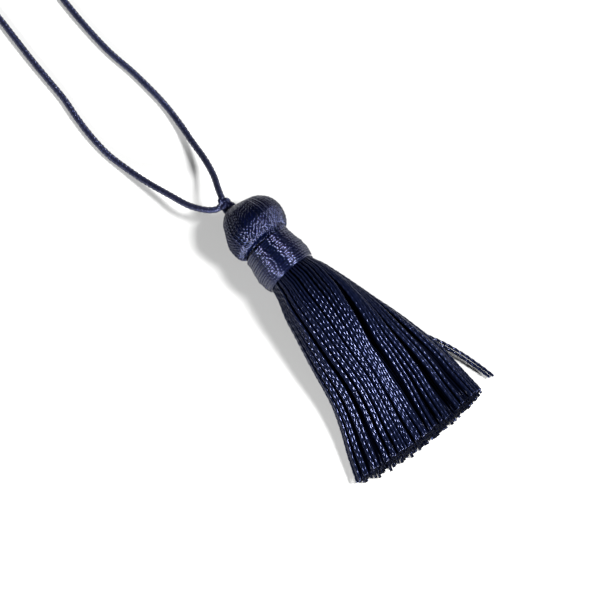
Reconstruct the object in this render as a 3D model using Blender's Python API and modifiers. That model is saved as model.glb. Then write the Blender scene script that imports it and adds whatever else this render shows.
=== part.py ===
"""Silky tassel on a hanging loop, lying on its side.

Every length below is in millimetres; MM turns it into metres where a mesh is made.
The origin is the middle of the tassel's own box (the loop and its knot left out), on the
surface that it lies on. +X runs from the head to the cut end of the skirt, +Z is up.
"Along" is measured from the top of the head, and "aside" from the neck's axis.
"""
import math

import bmesh
import bpy
from mathutils import Matrix, Vector

MM = 0.001
GAP = 0.3                   # clearance between neighbouring pieces

# Driving dimensions
BODY_LENGTH = 71.5          # head top to the longest cut ends
HEAD_LENGTH = 11.9          # head top to the neck binding
BINDING_LENGTH = 9.0
NECK_RADIUS = 5.3           # the bundle inside the binding
AXIS_HEIGHT = 7.6           # the neck's axis above the surface
AXIS_ASIDE = -0.7           # the neck's axis from the middle of the spread skirt
CORD_DIAMETER = 1.5
KNOT_RADII = (1.8, 1.5, 1.5)    # along the knot, across it, and up
STEM_RADIUS = 1.35
STRAY_RADIUS = 0.85         # two strands side by side

HEAD_TOP = -BODY_LENGTH / 2
BINDING_START = HEAD_LENGTH + GAP
BINDING_END = BINDING_START + BINDING_LENGTH
SKIRT_START = BINDING_END + GAP

# Head: the bundle folded over, with the neck that the binding hides.
HEAD_COLUMNS = ("along", "radius", "lean")
HEAD_PROFILE = (
    (0.0, 1.7, -0.9),
    (0.45, 2.9, -0.45),
    (1.1, 4.15, 0.1),
    (2.2, 5.75, 0.75),
    (3.4, 6.6, 1.0),
    (4.7, 7.35, 0.95),
    (6.0, 7.8, 0.8),
    (7.2, 7.95, 0.65),
    (8.4, 7.8, 0.6),
    (9.6, 7.5, 0.5),
    (10.6, 7.1, 0.35),
    (11.3, 6.6, 0.2),
    (11.75, 5.9, 0.1),
    (HEAD_LENGTH, NECK_RADIUS, 0.0),
    (BINDING_END - 0.25, NECK_RADIUS, 0.0),
)
HEAD_POINTS = 40
# The folded bundle is fuller low on the left, behind a shallow dip in its outline.
LOBE_SIDE = math.radians(197)
LOBE_WIDTH = math.radians(34)
LOBE_ALONG, LOBE_LENGTH, LOBE_HEIGHT = 9.9, 1.9, 0.35
DIP_ALONG, DIP_LENGTH, DIP_DEPTH = 5.2, 1.5, 0.3

# Binding: outer radius from the neck to the skirt.
BINDING_COLUMNS = ("along", "radius")
BINDING_PROFILE = (
    (0.0, 5.95),
    (0.3, 6.2),
    (1.2, 6.25),
    (2.6, 6.45),
    (4.2, 6.8),
    (5.6, 6.95),
    (7.0, 6.85),
    (8.2, 6.6),
    (8.85, 6.35),
    (BINDING_LENGTH, 6.0),
)
BINDING_STEPS = 40

# Skirt: left and right reach aside; crest, belly (its widest level) and underside are
# heights, and what falls below the surface lies flat on it.
SKIRT_COLUMNS = ("along", "left", "right", "crest", "belly", "underside")
SKIRT_SECTIONS = (
    (SKIRT_START, -6.1, 6.3, 13.8, 7.6, 1.4),
    (24.0, -6.6, 7.5, 13.9, 7.5, 1.1),
    (28.4, -8.0, 9.0, 13.5, 7.1, 0.5),
    (33.0, -8.9, 10.4, 12.8, 6.5, 0.0),
    (42.0, -10.7, 13.0, 11.1, 5.3, -0.8),
    (51.0, -12.3, 15.1, 9.1, 4.1, -1.3),
    (58.0, -14.5, 16.4, 7.6, 3.1, -1.6),
    (64.5, -17.0, 16.9, 6.5, 2.4, -1.8),
    (BODY_LENGTH, -19.3, 17.4, 5.8, 2.1, -2.0),
)
SKIRT_STATIONS = 17
CLUMPS = 26                 # strands cling together in this many ridges
POINTS_PER_CLUMP = 4
CLUMP_DEPTH = 0.4           # ridge to valley at the cut end
SECTION_POWER = 2.2         # 2 is an ellipse, more is squarer
END_BOW = 2.8               # the spread sides of the cut end stop this much earlier
END_SLANT = 1.8             # so do the uppermost strands
END_UNEVEN = 0.35           # and some clumps

# Two strands that lie apart from the skirt on its right.
STRAY_COLUMNS = ("along", "aside", "height")
STRAY_ROUTE = (
    (50.0, 13.8, 3.2),
    (55.0, 16.3, 2.2),
    (59.5, 18.1, 1.5),
    (64.0, 19.4, 1.05),
    (68.0, 20.3, 0.87),
)

# The knot sits askew on the head's top; the loop's two runs leave its ends.
KNOT_CENTRE = (-37.85, -1.8, 7.3)
KNOT_TURN = math.radians(140)
STEM_FOOT = (HEAD_TOP - 0.5, -1.6, 7.45)

# The loop, from the knot's far end round the bight and back to its near end.
CORD_COLUMNS = ("x", "y", "z")
CORD_ROUTE = (
    (-39.8, -1.1, 7.1),
    (-41.9, -0.3, 6.4),
    (-45.3, 1.1, 5.2),
    (-50.2, 2.3, 3.7),
    (-56.2, 3.1, 2.1),
    (-61.3, 3.8, 1.2),
    (-68.4, 4.2, 0.8),
    (-77.9, 3.6, 0.75),
    (-86.9, 2.4, 0.75),
    (-96.2, 2.1, 0.75),
    (-104.0, 2.3, 0.75),
    (-112.0, 2.7, 0.75),
    (-120.5, 2.2, 0.75),
    (-128.0, -0.2, 0.75),
    (-131.8, -4.9, 0.75),
    (-129.3, -9.8, 0.75),
    (-122.5, -12.1, 0.75),
    (-116.0, -12.5, 0.75),
    (-109.9, -12.5, 0.75),
    (-103.2, -12.8, 0.75),
    (-96.5, -13.1, 0.75),
    (-90.2, -13.2, 0.75),
    (-84.0, -13.3, 0.75),
    (-78.3, -13.9, 0.75),
    (-72.4, -14.2, 0.75),
    (-66.3, -13.9, 0.8),
    (-60.2, -12.7, 1.2),
    (-54.4, -11.3, 2.2),
    (-48.5, -9.6, 3.7),
    (-43.4, -8.1, 5.2),
    (-39.7, -6.1, 6.5),
    (-37.9, -4.1, 7.0),
)
CORD_STEP = 3.4             # distance between the tube's points


def rows(columns, table):
    """A table as a list of dictionaries, one for each row."""
    return [dict(zip(columns, row)) for row in table]


def smooth_row(table, column, value):
    """The table's other columns where `column` is `value`, on a smooth curve through its rows."""
    places = [row[column] for row in table]
    last = len(table) - 1
    low = max(i for i in range(last) if i == 0 or places[i] <= value)
    span = places[low + 1] - places[low]
    part = min(max((value - places[low]) / span, 0.0), 1.0)

    def slope(index, name):
        before, after = max(index - 1, 0), min(index + 1, last)
        return (table[after][name] - table[before][name]) / (places[after] - places[before])

    result = {}
    for name in table[0]:
        start, end = table[low][name], table[low + 1][name]
        start_slope, end_slope = slope(low, name) * span, slope(low + 1, name) * span
        result[name] = (
            (2 * part**3 - 3 * part**2 + 1) * start
            + (part**3 - 2 * part**2 + part) * start_slope
            + (3 * part**2 - 2 * part**3) * end
            + (part**3 - part**2) * end_slope
        )
    return result


def place(along, aside, height):
    """A point given from the head's top and the neck's axis, in the part's frame."""
    return Vector((HEAD_TOP + along, AXIS_ASIDE + aside, max(height, 0.0)))


def material(name, colour, roughness):
    """A cloth material with its own name."""
    made = bpy.data.materials.new(name)
    made.use_nodes = True
    shader = made.node_tree.nodes["Principled BSDF"]
    shader.inputs["Base Color"].default_value = (*colour, 1.0)
    shader.inputs["Roughness"].default_value = roughness
    return made


def add_object(name, data, collection, finish=None):
    """Link a new object into a collection, with its material."""
    made = bpy.data.objects.new(name, data)
    collection.objects.link(made)
    if finish:
        data.materials.append(finish)
    return made


def loft(name, rings, collection, finish):
    """A closed body through rings of points, its ends closed by fans."""
    mesh = bpy.data.meshes.new(name)
    bm = bmesh.new()
    loops = [[bm.verts.new(point * MM) for point in ring] for ring in rings]
    count = len(loops[0])
    for near, far in zip(loops, loops[1:]):
        for i in range(count):
            j = (i + 1) % count
            bm.faces.new((near[i], far[i], far[j], near[j]))
    for loop in (loops[0], loops[-1]):
        middle = bm.verts.new(sum((v.co for v in loop), Vector()) / count)
        for i in range(count):
            bm.faces.new((loop[i], loop[(i + 1) % count], middle))
    bmesh.ops.recalc_face_normals(bm, faces=bm.faces)
    bm.to_mesh(mesh)
    bm.free()
    mesh.shade_smooth()
    mesh.set_sharp_from_angle(angle=math.radians(50))
    return add_object(name, mesh, collection, finish)


def tube(name, points, radius, collection, finish=None):
    """A round tube with filled caps along a list of points."""
    curve = bpy.data.curves.new(name, "CURVE")
    curve.dimensions = "3D"
    curve.bevel_depth = radius * MM
    curve.bevel_resolution = 2
    curve.use_fill_caps = True
    spline = curve.splines.new("POLY")
    spline.points.add(len(points) - 1)
    for target, point in zip(spline.points, points):
        target.co = (*(Vector(point) * MM), 1.0)
    return add_object(name, curve, collection, finish)


def as_mesh(curve_object, collection):
    """The same tube as a welded mesh, ready for a Boolean."""
    bpy.context.view_layer.update()
    name = curve_object.name
    evaluated = curve_object.evaluated_get(bpy.context.evaluated_depsgraph_get())
    mesh = bpy.data.meshes.new_from_object(evaluated)
    bpy.data.objects.remove(curve_object)
    bm = bmesh.new()
    bm.from_mesh(mesh)
    bmesh.ops.remove_doubles(bm, verts=bm.verts, dist=0.01 * MM)
    bmesh.ops.recalc_face_normals(bm, faces=bm.faces)
    bm.to_mesh(mesh)
    bm.free()
    return add_object(name, mesh, collection)


def join(target, cutter):
    """Union one body into another, and keep its source out of sight."""
    cutter.hide_render = True
    cutter.display_type = "WIRE"
    union = target.modifiers.new("union " + cutter.name, "BOOLEAN")
    union.operation = "UNION"
    union.solver = "EXACT"
    union.object = cutter


def evenly(points, step):
    """Points about `step` apart on the smooth curve through the given ones."""
    fine = []
    ends = [2 * points[0] - points[1], *points, 2 * points[-1] - points[-2]]
    for before, start, end, after in zip(ends, ends[1:], ends[2:], ends[3:]):
        for i in range(20):
            t = i / 20
            fine.append(
                0.5 * (2 * start + (end - before) * t
                       + (2 * before - 5 * start + 4 * end - after) * t**2
                       + (3 * start - before - 3 * end + after) * t**3)
            )
    fine.append(points[-1])
    travelled = [0.0]
    for near, far in zip(fine, fine[1:]):
        travelled.append(travelled[-1] + (far - near).length)
    count = round(travelled[-1] / step)
    result, index = [], 0
    for k in range(count + 1):
        goal = travelled[-1] * k / count
        while index < len(fine) - 2 and travelled[index + 1] < goal:
            index += 1
        span = travelled[index + 1] - travelled[index]
        result.append(fine[index].lerp(fine[index + 1], (goal - travelled[index]) / span))
    return result


def bump(value, centre, width):
    """A smooth hill, 1 at its centre."""
    return math.exp(-((value - centre) / width) ** 2)


def make_head(collection, finish):
    """The folded bundle: a bulb, fuller low on the left, and its neck."""
    rings = []
    for row in rows(HEAD_COLUMNS, HEAD_PROFILE):
        ring = []
        for i in range(HEAD_POINTS):
            angle = 2 * math.pi * i / HEAD_POINTS
            side = bump(angle, LOBE_SIDE, LOBE_WIDTH)
            swell = LOBE_HEIGHT * bump(row["along"], LOBE_ALONG, LOBE_LENGTH)
            dip = DIP_DEPTH * bump(row["along"], DIP_ALONG, DIP_LENGTH)
            neck = row["radius"] <= NECK_RADIUS and row["along"] >= HEAD_LENGTH
            radius = row["radius"] + (0.0 if neck else side * (swell - dip))
            ring.append(place(row["along"], row["lean"] + radius * math.cos(angle),
                              AXIS_HEIGHT + radius * math.sin(angle)))
        rings.append(ring)
    return loft("head", rings, collection, finish)


def make_binding(collection, finish):
    """The wound collar, turned about the neck's axis."""
    inner = NECK_RADIUS + GAP
    outline = [(inner, 0.0)]
    outline += [(row["radius"], row["along"]) for row in rows(BINDING_COLUMNS, BINDING_PROFILE)]
    outline += [(inner, BINDING_LENGTH)]
    mesh = bpy.data.meshes.new("binding")
    bm = bmesh.new()
    points = [bm.verts.new(Vector((radius, 0.0, -along)) * MM) for radius, along in outline]
    for near, far in zip(points, points[1:] + points[:1]):
        bm.edges.new((near, far))
    bm.to_mesh(mesh)
    bm.free()
    made = add_object("binding", mesh, collection, finish)
    made.location = place(BINDING_START, 0.0, AXIS_HEIGHT) * MM
    made.rotation_euler = (0.0, math.radians(-90), 0.0)
    turn = made.modifiers.new("wound", "SCREW")
    turn.steps = turn.render_steps = BINDING_STEPS
    turn.use_merge_vertices = True
    turn.merge_threshold = 0.01 * MM
    turn.use_smooth_shade = True
    return made


def clump_phase(angle):
    """Where an angle falls among the clumps, which are not all of one width."""
    return CLUMPS * (angle + 0.05 * math.sin(3 * angle + 1) + 0.03 * math.sin(7 * angle + 2))


def skirt_ring(along):
    """One section of the fanned strands, bowed and slanted more towards the cut end."""
    row = smooth_row(rows(SKIRT_COLUMNS, SKIRT_SECTIONS), "along", along)
    grown = (along - SKIRT_START) / (BODY_LENGTH - SKIRT_START)
    middle = (row["left"] + row["right"]) / 2
    half = (row["right"] - row["left"]) / 2
    count = CLUMPS * POINTS_PER_CLUMP
    ring = []
    for i in range(count):
        angle = 2 * math.pi * i / count
        across, up = math.cos(angle), math.sin(angle)
        ridge = CLUMP_DEPTH * grown * (math.cos(clump_phase(angle)) - 1) / 2
        tall = row["crest"] - row["belly"] if up > 0 else row["belly"] - row["underside"]
        shrink = 1 + ridge / min(half, tall)
        aside = middle + half * shrink * math.copysign(abs(across) ** (2 / SECTION_POWER), across)
        height = row["belly"] + tall * shrink * math.copysign(abs(up) ** (2 / SECTION_POWER), up)
        bow = END_BOW * grown**2 * (aside / half) ** 2
        slant = END_SLANT * grown**2 * max(height, 0.0) / row["crest"]
        uneven = END_UNEVEN * grown**6 * (1 + math.sin(clump_phase(angle) * 0.37 + 1))
        ring.append(place(along - bow - slant - uneven, aside, height))
    return ring


def make_skirt(collection, cutters, finish):
    """The fanned strands as one comb, with the strays that lie apart from it."""
    rings = []
    for k in range(SKIRT_STATIONS):
        rings.append(skirt_ring(SKIRT_START + (BODY_LENGTH - SKIRT_START) * k / (SKIRT_STATIONS - 1)))
    skirt = loft("skirt", rings, collection, finish)
    route = [place(row["along"], row["aside"], row["height"]) for row in rows(STRAY_COLUMNS, STRAY_ROUTE)]
    strays = as_mesh(tube("strays", evenly(route, 2.5), STRAY_RADIUS, cutters), cutters)
    join(skirt, strays)
    return skirt


def make_knot(collection, cutters, finish):
    """The tied lump and the whipped stem that goes into the head."""
    centre = Vector(KNOT_CENTRE)
    mesh = bpy.data.meshes.new("knot")
    bm = bmesh.new()
    shape = Matrix.Translation(centre * MM) @ Matrix.Rotation(KNOT_TURN, 4, "Z")
    shape = shape @ Matrix.Diagonal((*(Vector(KNOT_RADII) * MM), 1.0))
    bmesh.ops.create_uvsphere(bm, u_segments=20, v_segments=12, radius=1.0, matrix=shape)
    bm.to_mesh(mesh)
    bm.free()
    mesh.shade_smooth()
    knot = add_object("knot", mesh, collection, finish)
    stem = as_mesh(tube("stem", [centre, STEM_FOOT], STEM_RADIUS, cutters), cutters)
    join(knot, stem)
    return knot


def make_cord(collection, finish):
    """The hanging loop as one plain tube."""
    radius = CORD_DIAMETER / 2
    route = [Vector((row["x"], row["y"], row["z"])) for row in rows(CORD_COLUMNS, CORD_ROUTE)]
    points = [Vector((p.x, p.y, max(p.z, radius))) for p in evenly(route, CORD_STEP)]
    return tube("cord_loop", points, radius, collection, finish)


def main():
    for old in list(bpy.data.objects):
        bpy.data.objects.remove(old)
    parts = bpy.data.collections.new("tassel")
    cutters = bpy.data.collections.new("cutters")
    for collection in (parts, cutters):
        bpy.context.scene.collection.children.link(collection)
    make_head(parts, material("head thread", (0.011, 0.013, 0.045), 0.35))
    make_binding(parts, material("binding floss", (0.012, 0.014, 0.05), 0.3))
    make_skirt(parts, cutters, material("skirt strands", (0.011, 0.014, 0.05), 0.35))
    make_knot(parts, cutters, material("knotted cord", (0.014, 0.016, 0.06), 0.4))
    make_cord(parts, material("loop cord", (0.012, 0.015, 0.055), 0.4))


main()
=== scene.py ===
"""Looks of the silky tassel: skirt strands, head threads, floss and cord strands, each swept as a
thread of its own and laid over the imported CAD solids. Metres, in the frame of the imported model."""
import math

import bpy
import numpy as np
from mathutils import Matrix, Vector
from mathutils.bvhtree import BVHTree


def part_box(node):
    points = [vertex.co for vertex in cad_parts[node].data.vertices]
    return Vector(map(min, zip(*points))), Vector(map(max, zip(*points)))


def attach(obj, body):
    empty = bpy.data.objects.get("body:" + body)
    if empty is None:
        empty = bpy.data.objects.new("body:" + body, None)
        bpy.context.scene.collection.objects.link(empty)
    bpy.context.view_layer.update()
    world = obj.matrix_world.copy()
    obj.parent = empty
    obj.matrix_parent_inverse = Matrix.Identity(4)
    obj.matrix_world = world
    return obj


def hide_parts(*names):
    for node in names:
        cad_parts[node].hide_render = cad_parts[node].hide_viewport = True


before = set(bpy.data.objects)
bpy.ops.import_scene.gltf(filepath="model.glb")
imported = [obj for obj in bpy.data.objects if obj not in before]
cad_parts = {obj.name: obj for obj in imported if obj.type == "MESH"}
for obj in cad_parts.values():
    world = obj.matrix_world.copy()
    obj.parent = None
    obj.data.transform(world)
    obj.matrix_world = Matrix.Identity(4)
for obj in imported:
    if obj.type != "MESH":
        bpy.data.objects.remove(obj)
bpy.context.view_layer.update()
random = np.random.default_rng(11)
MM = 0.001

HEAD_LOW = np.array(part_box("head")[0])
BINDING_LOW, BINDING_HIGH = (np.array(corner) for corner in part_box("binding"))
NECK_AXIS = (BINDING_LOW + BINDING_HIGH) / 2

# Thread sizes
STRAND_RADIUS = 0.40 * MM
STRAND_PITCH = 3.2 * MM         # one full turn of its two plies
HEAD_THREAD_RADIUS = 0.34 * MM
FLOSS_RADIUS = 0.34 * MM
FINE_PITCH = 1.9 * MM           # one full turn of the head's thread and of the floss
FLOSS_SPACING = 0.62 * MM       # from one turn round the neck to the next
BRAID_RADIUS = 0.83 * MM        # over the high points of the braid
KNOT_BRAID_RADIUS = 0.62 * MM   # pulled tight in the knot
LEG_BRAID_RADIUS = 0.64 * MM
KNOT_BRAID_PITCH = 3.2 * MM
KNOT_BRAID_STEP = 0.15 * MM
FULL_TURN = 2 * math.pi

# Camera: seen from above, turned so that the tassel runs down to the right
CAMERA_ELEVATION = math.radians(74)
CAMERA_TURN = math.radians(50.3)
CAMERA_DISTANCE = 0.55
VIEW_WIDTH = 0.138
SENSOR_WIDTH = 36
AIM = Vector((-0.0094, -0.0025, 0.004))

FIBRE_SCALE = 9000      # of the fine relief on every thread
FLOOR_REACH = 3.0

# The loop, from the knot's far end round the bight and back to its near end, as in the CAD.
CORD_ROUTE = np.array((
    (-39.8, -1.1, 7.1), (-41.9, -0.3, 6.4), (-45.3, 1.1, 5.2), (-50.2, 2.3, 3.7),
    (-56.2, 3.1, 2.1), (-61.3, 3.8, 1.2), (-68.4, 4.2, 0.8), (-77.9, 3.6, 0.75),
    (-86.9, 2.4, 0.75), (-96.2, 2.1, 0.75), (-104.0, 2.3, 0.75), (-112.0, 2.7, 0.75),
    (-120.5, 2.2, 0.75), (-128.0, -0.2, 0.75), (-131.8, -4.9, 0.75), (-129.3, -9.8, 0.75),
    (-122.5, -12.1, 0.75), (-116.0, -12.5, 0.75), (-109.9, -12.5, 0.75), (-103.2, -12.8, 0.75),
    (-96.5, -13.1, 0.75), (-90.2, -13.2, 0.75), (-84.0, -13.3, 0.75), (-78.3, -13.9, 0.75),
    (-72.4, -14.2, 0.75), (-66.3, -13.9, 0.8), (-60.2, -12.7, 1.2), (-54.4, -11.3, 2.2),
    (-48.5, -9.6, 3.7), (-43.4, -8.1, 5.2), (-39.7, -6.1, 6.5), (-37.9, -4.1, 7.0),
)) * MM
KNOT_CENTRE = np.array((-37.85, -1.8, 7.3)) * MM


# ---------------------------------------------------------------- curves and threads

def smooth(points, count):
    """`count` points on Catmull-Rom curves through points[..., i, :], even in parameter."""
    points = np.asarray(points, float)
    first = 2 * points[..., :1, :] - points[..., 1:2, :]
    last = 2 * points[..., -1:, :] - points[..., -2:-1, :]
    ends = np.concatenate((first, points, last), axis=-2)
    where = np.linspace(0, points.shape[-2] - 1, count)
    index = np.minimum(where.astype(int), points.shape[-2] - 2)
    t = (where - index)[:, None]
    before, start = ends[..., index, :], ends[..., index + 1, :]
    end, after = ends[..., index + 2, :], ends[..., index + 3, :]
    return 0.5 * (2 * start + (end - before) * t
                  + (2 * before - 5 * start + 4 * end - after) * t**2
                  + (3 * start - before - 3 * end + after) * t**3)


def unit(vectors):
    """The same directions at length 1."""
    return vectors / np.maximum(np.linalg.norm(vectors, axis=-1, keepdims=True), 1e-12)


def lengths(paths):
    """Distance travelled at each point of each path."""
    steps = np.linalg.norm(np.diff(paths, axis=-2), axis=-1)
    return np.concatenate((np.zeros((*steps.shape[:-1], 1)), np.cumsum(steps, axis=-1)), axis=-1)


def axes(paths, reference):
    """Two directions across each path, the first as near to `reference` as it can be."""
    along = unit(np.gradient(paths, axis=-2))
    reference = np.broadcast_to(reference, paths.shape)
    across = unit(reference - (reference * along).sum(-1, keepdims=True) * along)
    return across, np.cross(along, across)


def even(path, count):
    """The same single path with its points at equal distances."""
    travelled = lengths(path)
    goals = np.linspace(0, travelled[-1], count)
    return np.stack([np.interp(goals, travelled, path[:, k]) for k in range(3)], axis=-1)


class Threads:
    """Threads swept into one mesh, each with a tone of its own."""

    def __init__(self):
        self.verts, self.quads, self.caps, self.tones, self.count = [], [], [], [], 0

    def add(self, paths, reference, radius, twist=0.0, lobe=0.0, sides=8, tone=None):
        """Sweeps paths (strand, point, xyz); radius, twist and lobe are numbers or (strand, point).

        A lobe above 0 gives the section two lobes that turn with the twist, as two plies do, and
        one below 0 flattens it along `reference`.
        """
        strands, rings = paths.shape[:2]
        across, beside = axes(paths, reference)
        radius = np.broadcast_to(radius, (strands, rings))[..., None]
        twist = np.broadcast_to(twist, (strands, rings))[..., None]
        turn = np.linspace(0, 2 * math.pi, sides, endpoint=False)
        lobe = np.broadcast_to(lobe, (strands, rings))[..., None]
        shape = (1 + lobe * np.cos(2 * turn)) / (1 + lobe)
        angle = turn + twist
        ring = (across[..., None, :] * np.cos(angle)[..., None]
                + beside[..., None, :] * np.sin(angle)[..., None])
        verts = paths[..., None, :] + ring * (radius * shape)[..., None]
        index = np.arange(strands * rings * sides).reshape(strands, rings, sides) + self.count
        near, far = index[:, :-1], index[:, 1:]
        quads = np.stack((near, np.roll(near, -1, -1), np.roll(far, -1, -1), far), axis=-1)
        self.verts.append(verts.reshape(-1, 3))
        self.quads.append(quads.reshape(-1, 4))
        self.caps += [*index[:, 0, ::-1], *index[:, -1]]
        tone = random.uniform(0, 1, strands) if tone is None else np.broadcast_to(tone, strands)
        self.tones.append(np.repeat(tone, rings * sides))
        self.count += strands * rings * sides

    def object(self, name, material, cut=None):
        """The threads as one object; `cut` is the material of their flat ends."""
        quads = np.concatenate(self.quads)
        caps = [np.asarray(cap) for cap in self.caps]
        totals = np.array([4] * len(quads) + [len(cap) for cap in caps], np.int32)
        corners = np.concatenate((quads.ravel(), *caps)).astype(np.int32)
        mesh = bpy.data.meshes.new(name)
        mesh.vertices.add(self.count)
        mesh.vertices.foreach_set("co", np.concatenate(self.verts).astype(np.float32).ravel())
        mesh.loops.add(len(corners))
        mesh.loops.foreach_set("vertex_index", corners)
        mesh.polygons.add(len(totals))
        starts = np.concatenate(([0], np.cumsum(totals)[:-1])).astype(np.int32)
        mesh.polygons.foreach_set("loop_start", starts)
        mesh.polygons.foreach_set("loop_total", totals)
        smooth_flags = np.ones(len(totals), bool)
        smooth_flags[len(quads):] = False
        mesh.polygons.foreach_set("use_smooth", smooth_flags)
        if cut:
            mesh.polygons.foreach_set("material_index", (~smooth_flags).astype(np.int32))
        tones = mesh.attributes.new("tone", "FLOAT", "POINT")
        tones.data.foreach_set("value", np.concatenate(self.tones).astype(np.float32))
        mesh.update(calc_edges=True)
        mesh.validate()
        mesh.materials.append(material)
        if cut:
            mesh.materials.append(cut)
        made = bpy.data.objects.new(name, mesh)
        bpy.context.scene.collection.objects.link(made)
        return made


# ---------------------------------------------------------------- materials

def silky(name, dark, light, roughness, gloss=1.0, relief=0.4):
    """Silky thread: tones that vary by thread and along it, under a blue gloss and a paler one."""
    material = bpy.data.materials.new(name)
    material.use_nodes = True
    nodes, links = material.node_tree.nodes, material.node_tree.links
    shader = nodes["Principled BSDF"]
    shader.inputs["IOR"].default_value = 1.5
    shader.inputs["Specular IOR Level"].default_value = 0.45 * gloss
    shader.inputs["Specular Tint"].default_value = (0.28, 0.37, 1.0, 1.0)
    shader.inputs["Coat Roughness"].default_value = 0.15
    shader.inputs["Coat IOR"].default_value = 1.38
    place = nodes.new("ShaderNodeTexCoord")
    tone = nodes.new("ShaderNodeAttribute")
    tone.attribute_name = "tone"
    patches = nodes.new("ShaderNodeTexNoise")
    patches.inputs["Scale"].default_value = 260
    patches.inputs["Detail"].default_value = 3
    links.new(place.outputs["Object"], patches.inputs["Vector"])
    spread = nodes.new("ShaderNodeMapRange")
    spread.inputs["From Min"].default_value = 0.3
    spread.inputs["From Max"].default_value = 0.7
    spread.inputs["To Max"].default_value = 0.4
    links.new(patches.outputs["Fac"], spread.inputs["Value"])
    share = nodes.new("ShaderNodeMath")
    share.operation = "MULTIPLY_ADD"
    share.inputs[1].default_value = 0.6
    links.new(tone.outputs["Fac"], share.inputs[0])
    links.new(spread.outputs["Result"], share.inputs[2])
    colour = nodes.new("ShaderNodeMix")
    colour.data_type = "RGBA"
    colour.inputs["A"].default_value = (*dark, 1.0)
    colour.inputs["B"].default_value = (*light, 1.0)
    links.new(share.outputs["Value"], colour.inputs["Factor"])
    links.new(colour.outputs["Result"], shader.inputs["Base Color"])
    polish = nodes.new("ShaderNodeMapRange")
    polish.inputs["To Min"].default_value = roughness + 0.03
    polish.inputs["To Max"].default_value = roughness - 0.03
    links.new(share.outputs["Value"], polish.inputs["Value"])
    links.new(polish.outputs["Result"], shader.inputs["Roughness"])
    lustre = nodes.new("ShaderNodeMapRange")
    lustre.inputs["To Min"].default_value = 0.25 * gloss
    lustre.inputs["To Max"].default_value = min(0.8 * gloss, 1.0)
    links.new(tone.outputs["Fac"], lustre.inputs["Value"])
    links.new(lustre.outputs["Result"], shader.inputs["Coat Weight"])
    fibres = nodes.new("ShaderNodeTexNoise")
    fibres.inputs["Scale"].default_value = FIBRE_SCALE
    fibres.inputs["Detail"].default_value = 2
    links.new(place.outputs["Object"], fibres.inputs["Vector"])
    bump = nodes.new("ShaderNodeBump")
    bump.inputs["Strength"].default_value = relief
    bump.inputs["Distance"].default_value = 0.00001
    links.new(fibres.outputs["Fac"], bump.inputs["Height"])
    links.new(bump.outputs["Normal"], shader.inputs["Normal"])
    return material


def matte(name, dark, light, scale):
    """Cut fibre ends: no gloss, a little mottled."""
    material = bpy.data.materials.new(name)
    material.use_nodes = True
    nodes, links = material.node_tree.nodes, material.node_tree.links
    shader = nodes["Principled BSDF"]
    shader.inputs["Roughness"].default_value = 0.85
    shader.inputs["Specular IOR Level"].default_value = 0.08
    place = nodes.new("ShaderNodeTexCoord")
    mottle = nodes.new("ShaderNodeTexNoise")
    mottle.inputs["Scale"].default_value = scale
    links.new(place.outputs["Object"], mottle.inputs["Vector"])
    colour = nodes.new("ShaderNodeMix")
    colour.data_type = "RGBA"
    colour.inputs["A"].default_value = (*dark, 1.0)
    colour.inputs["B"].default_value = (*light, 1.0)
    links.new(mottle.outputs["Fac"], colour.inputs["Factor"])
    links.new(colour.outputs["Result"], shader.inputs["Base Color"])
    return material


def plain(name, colour, roughness):
    """The floor's plain finish."""
    material = bpy.data.materials.new(name)
    material.use_nodes = True
    shader = material.node_tree.nodes["Principled BSDF"]
    shader.inputs["Base Color"].default_value = (*colour, 1.0)
    shader.inputs["Roughness"].default_value = roughness
    return material


# ---------------------------------------------------------------- camera, light and floor

def view_direction():
    """From the object towards the camera."""
    level = Vector((math.sin(CAMERA_TURN), -math.cos(CAMERA_TURN), 0))
    return level * math.cos(CAMERA_ELEVATION) + Vector((0, 0, math.sin(CAMERA_ELEVATION)))


def make_camera():
    """The camera at the picture's angle, aimed at the tassel."""
    camera = bpy.data.objects.new("camera", bpy.data.cameras.new("camera"))
    bpy.context.scene.collection.objects.link(camera)
    camera.location = AIM + view_direction() * CAMERA_DISTANCE
    camera.rotation_euler = (-view_direction()).to_track_quat("-Z", "Y").to_euler()
    camera.data.sensor_width = SENSOR_WIDTH
    camera.data.lens = SENSOR_WIDTH * CAMERA_DISTANCE / VIEW_WIDTH
    camera.data.clip_start = 0.01
    bpy.context.scene.camera = camera


def softbox(name, direction, size, radiance):
    """A square soft light a metre away, of the given brightness."""
    light = bpy.data.lights.new(name, "AREA")
    light.size = size
    light.energy = radiance * math.pi * size**2
    lamp = bpy.data.objects.new(name, light)
    bpy.context.scene.collection.objects.link(lamp)
    lamp.location = AIM + Vector(direction).normalized()
    lamp.rotation_euler = (-Vector(direction)).to_track_quat("-Z", "Y").to_euler()


def make_stage():
    """A pale floor, two soft lights and a dim cool room."""
    mesh = bpy.data.meshes.new("floor")
    corners = [(x * FLOOR_REACH, y * FLOOR_REACH, 0) for x, y in ((-1, -1), (1, -1), (1, 1), (-1, 1))]
    mesh.from_pydata(corners, [], [(0, 1, 2, 3)])
    floor = bpy.data.objects.new("floor", mesh)
    bpy.context.scene.collection.objects.link(floor)
    mesh.materials.append(plain("floor", (0.52, 0.52, 0.515), 0.9))
    softbox("key softbox", (0.43, 0.459, 0.777), 0.25, 131)
    softbox("side softbox", (0.70, -0.60, 0.40), 0.20, 180)
    world = bpy.data.worlds.new("studio")
    world.use_nodes = True
    world.node_tree.nodes["Background"].inputs["Color"].default_value = (0.9, 0.95, 1.0, 1.0)
    world.node_tree.nodes["Background"].inputs["Strength"].default_value = 0.07
    bpy.context.scene.world = world
    bpy.context.scene.view_settings.view_transform = "Standard"


# ---------------------------------------------------------------- the cord loop

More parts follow.
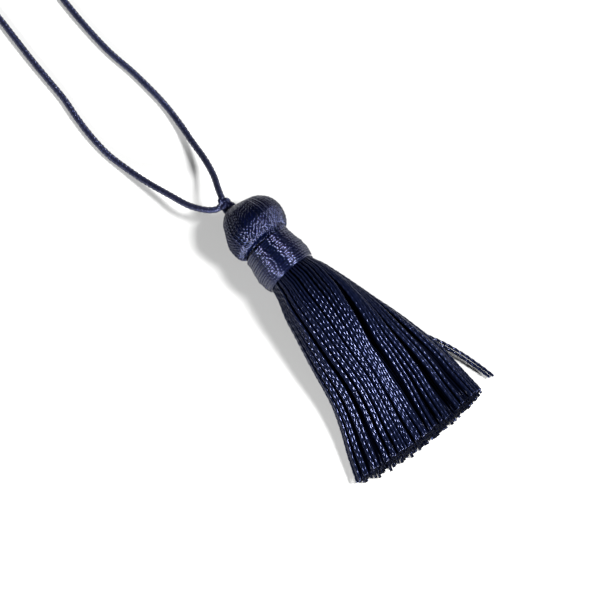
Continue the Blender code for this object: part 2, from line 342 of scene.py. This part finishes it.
def braid(threads, path, radius, carriers=6, pitch=3.8 * MM, sides=6, step=0.25 * MM):
    """A round braid of two sets of strands that pass over and under each other."""
    travelled = lengths(path)
    count = int(travelled[-1] / step)
    path = even(path, count)
    along = np.linspace(0, travelled[-1], count)
    across, beside = axes(path, np.array((0.0, 0.0, 1.0)))
    strand = 0.28 * radius
    weave = 0.14 * radius * np.cos(carriers * FULL_TURN * along / pitch)
    for sense in (1, -1):
        for k in range(carriers):
            angle = sense * FULL_TURN * along / pitch + FULL_TURN * k / carriers
            out = across * np.cos(angle)[:, None] + beside * np.sin(angle)[:, None]
            line = path + out * (0.58 * radius + sense * weave)[:, None]
            threads.add(line[None], out[None], strand, lobe=-0.25, sides=sides)
    threads.add(path[None], np.array((0, 0, 1.0)), radius * 0.55, sides=8)


def make_cord(material):
    """The loop of braided cord, with its centreline and its length."""
    first_end = KNOT_CENTRE + np.array((-0.5, 0.3, 0)) * MM
    last_end = KNOT_CENTRE + np.array((0.1, -0.9, -0.1)) * MM
    route = smooth(np.concatenate((first_end[None], CORD_ROUTE, last_end[None])), 1300)
    route[:, 2] = np.maximum(route[:, 2], BRAID_RADIUS)
    threads = Threads()
    braid(threads, route, BRAID_RADIUS)
    cord = threads.object("cord_loop_braid", material)
    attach(cord, "root")
    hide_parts("cord_loop")
    line = even(route, 120)
    return cord, line, float(lengths(line)[-1])


def make_knot(material):
    """The cord tied over itself, with three short legs of it into the top of the head."""
    turn = np.linspace(0, FULL_TURN, 160)
    tied = np.stack((np.sin(turn) + 2 * np.sin(2 * turn), np.cos(turn) - 2 * np.cos(2 * turn),
                     -1.3 * np.sin(3 * turn)), axis=-1)
    tied = tied * np.array((0.36, 0.42, 0.42)) * MM
    tilt = math.radians(30)
    turned = np.stack((tied[:, 0] * math.cos(tilt) - tied[:, 1] * math.sin(tilt),
                       tied[:, 0] * math.sin(tilt) + tied[:, 1] * math.cos(tilt), tied[:, 2]), axis=-1)
    threads = Threads()
    braid(threads, KNOT_CENTRE + turned, KNOT_BRAID_RADIUS, pitch=KNOT_BRAID_PITCH, step=KNOT_BRAID_STEP)
    head_top = np.array((HEAD_LOW[0], KNOT_CENTRE[1] + 0.2 * MM, 7.5 * MM))
    for side in (-1.1, 0.1, 1.1):
        run = smooth(np.stack((KNOT_CENTRE + np.array((0.2, 0.5 * side, 0)) * MM,
                               head_top + np.array((-0.4, side, 0)) * MM,
                               head_top + np.array((1.2, side, 0)) * MM)), 24)
        braid(threads, run, LEG_BRAID_RADIUS, pitch=KNOT_BRAID_PITCH, step=KNOT_BRAID_STEP)
    knot = threads.object("knot_tied", material)
    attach(knot, "root")
    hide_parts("knot")
    return knot


# ---------------------------------------------------------------- the head

def solid(node):
    """A node's surface, for casting rays at."""
    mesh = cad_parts[node].data
    return BVHTree.FromPolygons([v.co for v in mesh.vertices], [p.vertices for p in mesh.polygons])


def head_surface(polar, turn, inset):
    """Points inset from the head's surface, polar measured from its top and turn about its axis."""
    out = np.stack((-np.cos(polar), np.sin(polar) * np.cos(turn), np.sin(polar) * np.sin(turn)), axis=-1)
    reach = np.empty(out.shape[:-1])
    for where in np.ndindex(reach.shape):
        reach[where] = HEAD_TREE.ray_cast(Vector(HEAD_HEART), Vector(out[where]))[3]
    return HEAD_HEART + out * (reach - inset)[..., None], out


HEAD_TREE = solid("head")
HEAD_HEART = np.array((HEAD_LOW[0] + 6.4 * MM, NECK_AXIS[1] + 0.4 * MM, NECK_AXIS[2]))
HEAD_LAYERS = ((96, 0.36, 100, 8), (60, 0.72, 40, 6))   # threads, inset in mm, rings, sides


def make_head(material):
    """Two layers of twisted thread, fanned from the knot over the bulb and tucked into the neck."""
    threads = Threads()
    around = np.linspace(0, FULL_TURN, 181)
    equator = head_surface(np.full(181, math.pi / 2), around, 0)[0]
    girth = lengths(equator)
    girth = girth / girth[-1]
    for count, inset, rings, sides in HEAD_LAYERS:
        start = np.interp((np.arange(count) + random.uniform(-0.12, 0.12, count)) / count, girth, around)
        polar = np.linspace(math.radians(10), math.radians(134), 18)[None]
        polar = np.repeat(polar, count, 0)
        drift = random.normal(0, 0.008, (count, 1)) + 0.10
        wander = random.normal(0, 0.005, (count, 4))
        turn = start[:, None] + drift * np.sin(polar) + sum(
            wander[:, k:k + 1] * np.sin((k + 1) * polar + k) for k in range(4))
        depth = inset * MM + random.uniform(0, 0.14, (count, 1)) * MM * np.ones_like(polar)
        points, out = head_surface(polar, turn, depth)
        points[..., 2] = np.maximum(points[..., 2], HEAD_THREAD_RADIUS)
        inward = points[:, -1:] + np.array((0.9, 0, 0)) * MM - 0.5 * MM * out[:, -1:] * (0, 1, 1)
        points = np.concatenate((points, inward), axis=1)
        out = np.concatenate((out, out[:, -1:]), axis=1)
        paths = smooth(points, rings)
        reference = unit(smooth(out, rings))
        travelled = lengths(paths)
        thin = np.clip(travelled / (4.5 * MM), 0.45, 1.0)
        phase = np.arange(count)[:, None] * math.pi / 2 + random.normal(0, 0.35, (count, 1))
        twist = travelled / FINE_PITCH * FULL_TURN + phase
        lobe = np.interp(travelled / travelled[:, -1:], (0.25, 0.42, 1.0), (0.04, 0.26, 0.26))
        threads.add(paths, reference, HEAD_THREAD_RADIUS * thin, twist, lobe, sides)
    head = threads.object("head_threads", material)
    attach(head, "root")
    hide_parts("head")
    return head


# ---------------------------------------------------------------- the binding

def make_binding(material):
    """Fine floss wound close in one long helix, slightly slanted, over a plain lower layer."""
    tree = solid("binding")
    start, end = BINDING_LOW[0] + 0.15 * MM, BINDING_HIGH[0] - 0.15 * MM
    stations = np.linspace(start + 0.12 * MM, end - 0.12 * MM, 40)
    reach = [tree.ray_cast(Vector((x, NECK_AXIS[1], NECK_AXIS[2] + 0.05)), Vector((0, 0, -1)))[0][2]
             - NECK_AXIS[2] for x in stations]
    turns = int((end - start) / FLOSS_SPACING)
    count = turns * 250
    angle = np.linspace(0, turns * FULL_TURN, count)
    x = start + (end - start) * angle / angle[-1]
    x = x - 0.35 * MM * np.cos(angle + 0.8) * 0.5 + 0.05 * MM * np.sin(angle * 0.37)
    x = np.clip(x, start, end)
    wobble = 0.05 * MM * np.sin(angle * 0.731) + 0.03 * MM * np.sin(angle * 2.6)
    radius = np.interp(x, stations, reach) - 0.33 * MM + wobble
    out = np.stack((np.zeros(count), np.cos(angle), np.sin(angle)), axis=-1)
    path = np.stack((x, NECK_AXIS[1] + radius * out[:, 1], NECK_AXIS[2] + radius * out[:, 2]), -1)
    uneven = 1.5 * np.sin(angle * 0.61) + 1.1 * np.sin(angle * 0.173 + 1)
    twist = lengths(path) / FINE_PITCH * FULL_TURN + uneven
    threads = Threads()
    threads.add(path[None], out[None], FLOSS_RADIUS, twist, lobe=0.10, sides=8)
    # The upper turns don't quite touch, and the lower ones lie under the gaps between them.
    lower = path - 0.28 * MM * out
    lower[:, 0] = np.minimum(lower[:, 0] + FLOSS_SPACING / 2, end)
    threads.add(lower[None, ::5], out[None, ::5], FLOSS_RADIUS, sides=6, tone=0.3)
    binding = threads.object("binding_floss", material)
    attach(binding, "root")
    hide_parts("binding")
    return binding


# ---------------------------------------------------------------- the skirt

# Outline of the skirt, as in the CAD. Columns: along from the head's top, left, right, crest,
# belly and underside.
SKIRT_SECTIONS = np.array((
    (19.8, -5.6, 5.8, 13.3, 7.6, 1.9),
    (21.5, -6.1, 6.3, 13.8, 7.6, 1.4),
    (24.0, -6.6, 7.5, 13.9, 7.5, 1.1),
    (28.4, -8.0, 9.0, 13.5, 7.1, 0.5),
    (33.0, -8.9, 10.4, 12.8, 6.5, 0.0),
    (42.0, -10.7, 13.0, 11.1, 5.3, -0.8),
    (51.0, -12.3, 15.1, 9.1, 4.1, -1.3),
    (58.0, -14.5, 16.4, 7.6, 3.1, -1.6),
    (64.5, -17.0, 16.9, 6.5, 2.4, -1.8),
    (71.5, -19.3, 17.4, 5.8, 2.1, -2.0),
)) * MM
SKIRT_START = 21.5 * MM
BODY_LENGTH = 71.5 * MM
HEAD_TOP = -35.75 * MM
AXIS_ASIDE = -0.7 * MM
END_BOW = 1.95 * MM         # how much shorter the skirt is cut at its sides
END_TRIM = 0.9 * MM
END_SLANT = 1.8 * MM        # how much shorter it is on top
SECTION_POWER = 2.2
END_GIRTH = 88              # mm round the outline at the cut end
CLUMPS = 27
CORE_PITCH = 0.86 * MM
CORE_INSET = 1.4 * MM
STRAYS = ((1.05, 0.0, 1.0), (0.22, 0.1, 0.99))      # mm aside, mm up, share of the route
STRAY_START = (40.0, 9.8, 5.0)                      # mm along, aside and up, hidden in the skirt
STRAY_ROUTE = np.array((
    (50.0, 13.8, 3.2), (55.0, 16.3, 2.2), (59.5, 18.1, 1.5), (64.0, 19.4, 1.05), (68.0, 20.3, 0.87),
)) * MM
STATIONS = 25
OUTLINE_POINTS = 720


def skirt_stations():
    """Rows of (along, left, right, crest, belly, underside), evenly spaced along the skirt."""
    rows = smooth(SKIRT_SECTIONS[:, :3], 200), smooth(SKIRT_SECTIONS[:, 3:], 200)
    rows = np.concatenate(rows, axis=1)
    goals = np.linspace(rows[0, 0], rows[-1, 0], STATIONS)
    return np.stack([np.interp(goals, rows[:, 0], rows[:, k]) for k in range(6)], axis=-1)


ROWS = skirt_stations()
GROWN = np.clip((ROWS[:, 0] - SKIRT_START) / (BODY_LENGTH - SKIRT_START), 0, 1)


def set_in_skirt(aside, height, trim):
    """World points of (strand, station) offsets, with the bowed and slanted cut end."""
    half = (ROWS[:, 2] - ROWS[:, 1]) / 2
    bow = (END_BOW * (aside / half - 0.15) ** 2 + END_TRIM) * GROWN**2
    slant = END_SLANT * GROWN**2 * np.maximum(height, 0) / ROWS[:, 3]
    x = HEAD_TOP + ROWS[:, 0] - bow - slant - trim * GROWN**8
    return np.stack((x, AXIS_ASIDE + aside, np.maximum(height, STRAND_RADIUS)), axis=-1)


def skirt_outlines():
    """(station, point) outlines, even in length from the middle of the underside, and the way in."""
    angle = np.linspace(0, FULL_TURN, 2000) - math.pi / 2
    rings, ways = [], []
    for along, left, right, crest, belly, underside in ROWS:
        across, up = np.cos(angle), np.sin(angle)
        tall = np.where(up > 0, crest - belly, belly - underside)
        power = 2 / SECTION_POWER
        aside = (left + right) / 2 + (right - left) / 2 * np.sign(across) * np.abs(across) ** power
        height = np.maximum(belly + tall * np.sign(up) * np.abs(up) ** power, 0)
        travelled = np.concatenate(([0], np.cumsum(np.hypot(np.diff(aside), np.diff(height)))))
        goals = np.linspace(0, travelled[-1], OUTLINE_POINTS, endpoint=False)
        ring = np.stack((np.interp(goals, travelled, aside), np.interp(goals, travelled, height)), -1)
        tangent = unit(np.roll(ring, -8, 0) - np.roll(ring, 8, 0))
        rings.append(ring)
        ways.append(np.stack((-tangent[:, 1], tangent[:, 0]), axis=-1))
    return np.array(rings), np.array(ways)


RINGS, WAYS = skirt_outlines()


def on_skirt(share, depth, trim):
    """Strand paths at (strand, station) shares of the outline, sunk by depth, and their outward way."""
    index = (share % 1.0) * OUTLINE_POINTS
    low = index.astype(int) % OUTLINE_POINTS
    part = (index - index.astype(int))[..., None]
    station = np.arange(STATIONS)[None]
    ring = RINGS[station, low] * (1 - part) + RINGS[station, (low + 1) % OUTLINE_POINTS] * part
    way = WAYS[station, low]
    flat = ring + way * depth[..., None]
    out = np.concatenate((np.zeros((*way.shape[:2], 1)), -way), axis=-1)
    return set_in_skirt(flat[..., 0], flat[..., 1], trim), out


def wander(count, size, waves=3):
    """Slow random waves along each strand, growing from nothing at the binding."""
    total = np.zeros((count, STATIONS))
    for k in range(waves):
        phase = random.uniform(0, 6.28, (count, 1))
        total += random.normal(0, size / (k + 1), (count, 1)) * np.sin((k + 1) * 3 * GROWN + phase)
    return total * np.minimum(1, 3 * GROWN)


PARTING_SHARE = 0.43
PARTING_GROWN = (0.0, 0.18, 0.35, 0.5, 0.68, 1.0)
PARTING_CENTRES = (0.37, 0.39, 0.43, 0.465, 0.48, 0.485)


def part(share):
    """Shares drawn aside from the parting that runs slanting down the top of the skirt, where the under
    layer shows dark in painted shade.
    """
    offset = share - PARTING_SHARE
    centre = np.interp(GROWN, PARTING_GROWN, PARTING_CENTRES)
    width = 0.017 * np.interp(GROWN, (0.05, 0.25, 0.7, 0.95), (0.0, 1.0, 0.9, 0.2))
    drawn = (centre - PARTING_SHARE) * np.exp(-(offset / 0.10) ** 2)
    return share + drawn + np.sign(offset) * width * np.exp(-np.abs(offset) / 0.04)


def cling(share, centres, amount):
    """Shares drawn towards the nearest clump, more so near the cut end."""
    offsets = (centres[None] - share[:, None] + 0.5) % 1.0 - 0.5
    nearest = np.take_along_axis(offsets, np.abs(offsets).argmin(1)[:, None], 1)
    return share[:, None] + nearest * amount * GROWN[None] ** 1.2


def right_flat_and_painted_shade(shares):
    """1 on the right of the skirt, where the strands lie flatter and are toned darker and duller as
    painted shade, and 0 elsewhere.
    """
    return np.clip((0.44 - (shares % 1.0)) / 0.06, 0, 1)


LOBE_ALONG = (0.0, 0.06, 0.16, 0.32, 0.5, 0.8, 1.0)
LOBE_STRENGTH = (1.0, 1.6, 1.9, 1.45, 1.0, 0.9, 1.0)


def strand_lobes(shares, travelled):
    """How two-lobed each strand is along its length: most where the skirt begins to spread."""
    strength = 0.05 + 0.10 * random.beta(1.4, 1.2, (len(shares), 1))
    left = np.clip(((shares % 1.0) - 0.56) / 0.08, 0, 1)
    strength = strength * (1 + 0.35 * left - 0.35 * right_flat_and_painted_shade(shares))[:, None]
    along = travelled / travelled[:, -1:]
    return strength * np.interp(along, LOBE_ALONG, LOBE_STRENGTH)


def strand_tones(shares, bright):
    """Tones of strands, at random, and darker and duller on the right side of the skirt as painted shade.
    """
    return bright * random.beta(1.3, 1.1, len(shares)) * (1 - 0.75 * right_flat_and_painted_shade(shares))


def shares_between(start, end, spacing):
    """Shares spread over part of the outline, `spacing` mm apart at the cut end and jittered."""
    count = int((end - start) * END_GIRTH / spacing)
    return start + (end - start) * (np.arange(count) + random.uniform(0.2, 0.8, count)) / count


def strand_layer(name, shares, centres, depth, clump, rings, sides, bright, yarn, cut):
    """One layer of twisted strands, `depth` mm under the skirt's outline."""
    count = len(shares)
    share = cling(shares, centres, clump) + random.normal(0, 0.003, (count, 1)) * GROWN
    share = part(share) + wander(count, 0.0012)
    lift = (depth + random.uniform(0, 0.35, (count, 1))) * MM + wander(count, 0.12 * MM)
    trim = random.normal(0, 0.12, (count, 1)) * MM
    points, out = on_skirt(share, np.maximum(lift, STRAND_RADIUS), trim)
    paths = smooth(points, rings)
    travelled = lengths(paths)
    pitch = STRAND_PITCH * random.uniform(0.85, 1.2, (count, 1))
    twist = travelled / pitch * FULL_TURN + random.uniform(0, 6.28, (count, 1))
    squeeze = 0.62 + 0.38 * np.clip((travelled - 2 * MM) / (14 * MM), 0, 1)
    lobes = strand_lobes(shares, travelled)
    tones = strand_tones(shares, bright)
    threads = Threads()
    threads.add(paths, unit(smooth(out, rings)), STRAND_RADIUS * squeeze, twist, lobes, sides, tones)
    return threads.object(name, yarn, cut)


def strand_core(inner, cut):
    """Plain strands that fill the inside in close rows, where only their cut ends show."""
    last = ROWS[-1]
    middle, half = (last[1] + last[2]) / 2, (last[2] - last[1]) / 2
    across, up = np.meshgrid(np.arange(-24, 25), np.arange(0, 8))
    aside = middle + (across + 0.5 * (up % 2)) * CORE_PITCH
    height = STRAND_RADIUS + up * CORE_PITCH * 0.87
    aside = (aside + random.normal(0, 0.08 * MM, aside.shape)).ravel()
    height = (height + random.normal(0, 0.06 * MM, height.shape)).ravel()
    u = (aside - middle) / (half - CORE_INSET)
    v = (height - last[4]) / np.where(height > last[4], last[3] - last[4] - 1.5 * MM, 9)
    inside = np.abs(u) ** SECTION_POWER + np.abs(v) ** SECTION_POWER < 1
    u, rise = u[inside], (height / last[3])[inside]
    count = len(u)
    middles, halves = (ROWS[:, 1] + ROWS[:, 2]) / 2, (ROWS[:, 2] - ROWS[:, 1]) / 2 - CORE_INSET
    floor_gap = np.maximum(ROWS[:, 5], 0) + STRAND_RADIUS
    rises = floor_gap + rise[:, None] * (ROWS[:, 3] - floor_gap)
    trim = random.normal(0.1, 0.25, (count, 1)) - 0.7 * (random.uniform(0, 1, (count, 1)) < 0.05)
    paths = smooth(set_in_skirt(middles + u[:, None] * halves, rises, trim * MM), 16)
    squeeze = np.linspace(0.45, 1, 16) ** 0.5
    threads = Threads()
    threads.add(paths, np.array((0, 0, 1.0)), STRAND_RADIUS * squeeze, 0.0, 0.0, 6)
    return threads.object("skirt_strands_core", inner, cut)


def stray_strands(material, cut):
    """Two strands that have worked loose and lie apart on the right."""
    threads = Threads()
    for aside, height, end in STRAYS:
        start = np.array(STRAY_START) + np.array((0, aside, 0))
        route = STRAY_ROUTE + np.array((0, aside, height)) * MM
        stray = smooth(np.concatenate((start[None] * MM, route)), 110)[: int(110 * end)]
        line = np.stack((HEAD_TOP + stray[:, 0], AXIS_ASIDE + stray[:, 1],
                         np.maximum(stray[:, 2], STRAND_RADIUS)), axis=-1)
        twist = lengths(line) / STRAND_PITCH * FULL_TURN + random.uniform(0, 6.28)
        threads.add(line[None], np.array((0, 0, 1.0)), STRAND_RADIUS, twist[None], 0.14, 8, 0.9)
    return threads.object("skirt_strays", material, cut)


def make_skirt(material, inner, cut):
    """The skirt: an upper and a lower face, a layer under the upper one, the core and the strays."""
    centres = np.sort((np.arange(CLUMPS) + random.uniform(-0.4, 0.4, CLUMPS)) / CLUMPS)
    upper = shares_between(0.24, 0.76, 1.25)
    pieces = [strand_layer("skirt_strands_top", upper, centres, 0.43, 0.3, 200, 8, 1.0, material, cut)]
    lower = shares_between(-0.24, 0.24, 1.1)
    pieces.append(strand_layer("skirt_strands_base", lower, centres, 0.43, 0.2, 90, 6, 0.8, material, cut))
    # The under layer takes the inner strands' darker, near-glossless finish and dim tones (0.25): painted
    # shade in the gaps between the top strands.
    under = shares_between(0.22, 0.78, 1.0)
    pieces.append(strand_layer("skirt_strands_under", under, centres, 1.6, 0.25, 130, 6, 0.25, inner, cut))
    pieces.append(strand_core(inner, cut))
    pieces.append(stray_strands(material, cut))
    for piece in pieces:
        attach(piece, "root")
        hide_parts("skirt")


def main():
    """Sets the stage, then makes the cord, knot, head, binding and skirt in that order."""
    make_camera()
    make_stage()
    loop_cord = silky("loop cord", (0.004, 0.0045, 0.011), (0.014, 0.015, 0.034), 0.29)
    knotted_cord = silky("knotted cord", (0.0015, 0.0017, 0.007), (0.004, 0.0045, 0.018), 0.3, gloss=0.75)
    head_thread = silky("head thread", (0.0004, 0.0008, 0.003), (0.0010, 0.002, 0.014), 0.17)
    floss = silky("binding floss", (0.0004, 0.0008, 0.003), (0.0012, 0.002, 0.014), 0.19,
                  gloss=1.15, relief=0.25)
    cut = matte("cut fibre", (0.0008, 0.001, 0.0014), (0.0025, 0.003, 0.004), 5000)
    # Inner strands: a darker, near-glossless copy of the skirt strand, painted shade for the strands lying
    # under and inside the skirt.
    inner = silky("inner strand painted shade", (0.0002, 0.0003, 0.0012), (0.0005, 0.0008, 0.003), 0.4, gloss=0.1)
    strand = silky("skirt strand", (0.0013, 0.0021, 0.0065), (0.0020, 0.0032, 0.0125), 0.20, gloss=0.88)
    cord, line, length = make_cord(loop_cord)
    knot = make_knot(knotted_cord)
    make_head(head_thread)
    make_binding(floss)
    make_skirt(strand, inner, cut)


main()
